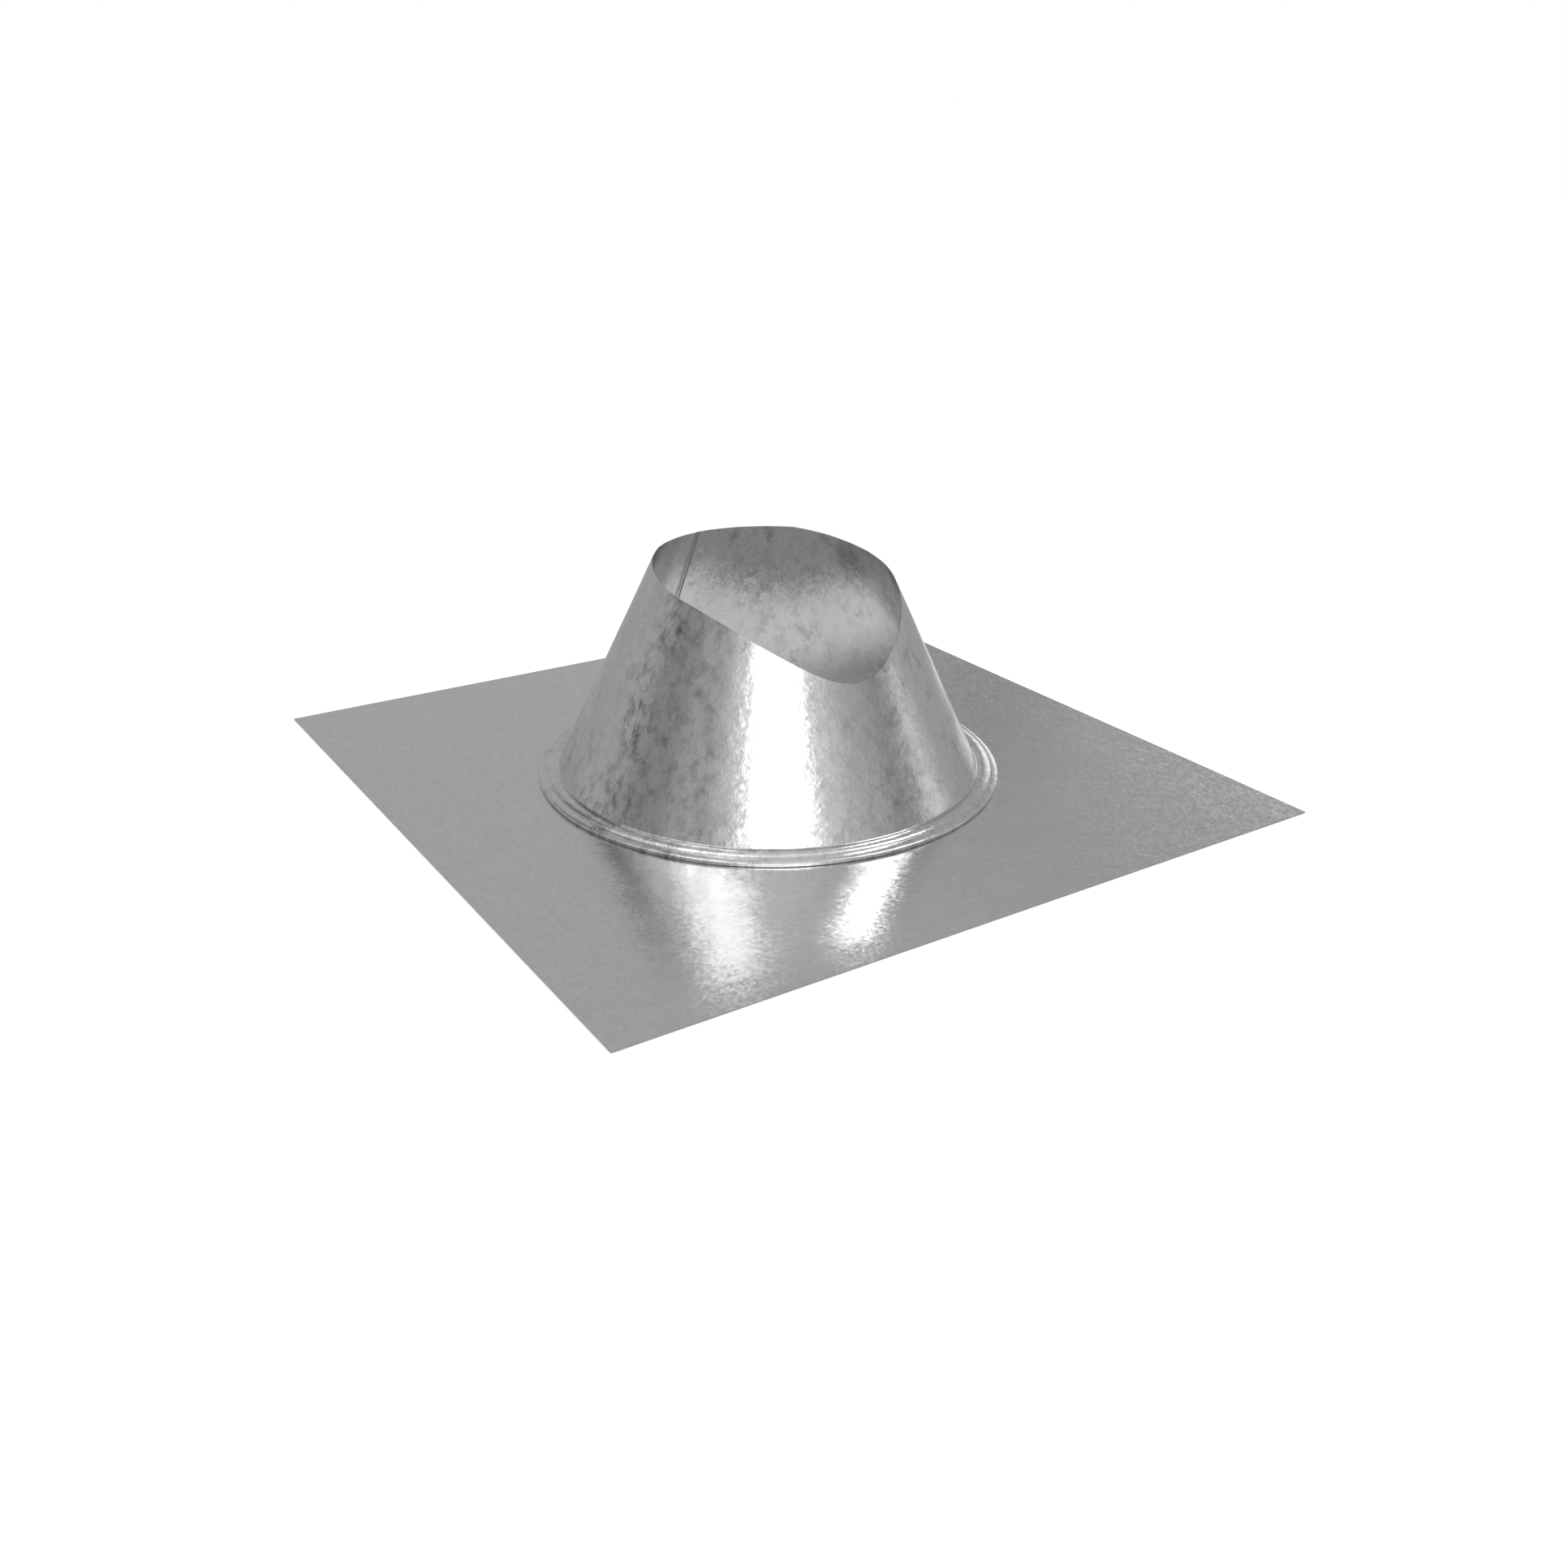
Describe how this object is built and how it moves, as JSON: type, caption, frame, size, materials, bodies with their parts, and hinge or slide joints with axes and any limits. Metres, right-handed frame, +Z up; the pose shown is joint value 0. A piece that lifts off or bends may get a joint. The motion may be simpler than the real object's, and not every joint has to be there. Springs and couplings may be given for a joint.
{
  "type": "pitched roof pipe flashing",
  "caption": "Galvanised roof flashing: a flat square base sheet with a ridged lock seam and a conical collar, its open top cut low on one side for a tilted vent pipe.",
  "frame": {"origin": "centre of the square base sheet's underside", "axes": "+Z up along the collar's axis; -Y towards the low side of the collar's rim, +Y towards its full-height side and lap seam; X along the sheet's other sides"},
  "size_m": [0.52, 0.52, 0.1526],
  "materials": {
    "galvanised_sheet": "hot-dip galvanised, small spangle, semi-gloss",
    "weld_steel": "dull, resistance-welded"
  },
  "bodies": {
    "root": {"base_plate": "galvanised_sheet", "cone_collar": "galvanised_sheet", "seam_spot_welds": "weld_steel"}
  },
  "joints": []
}
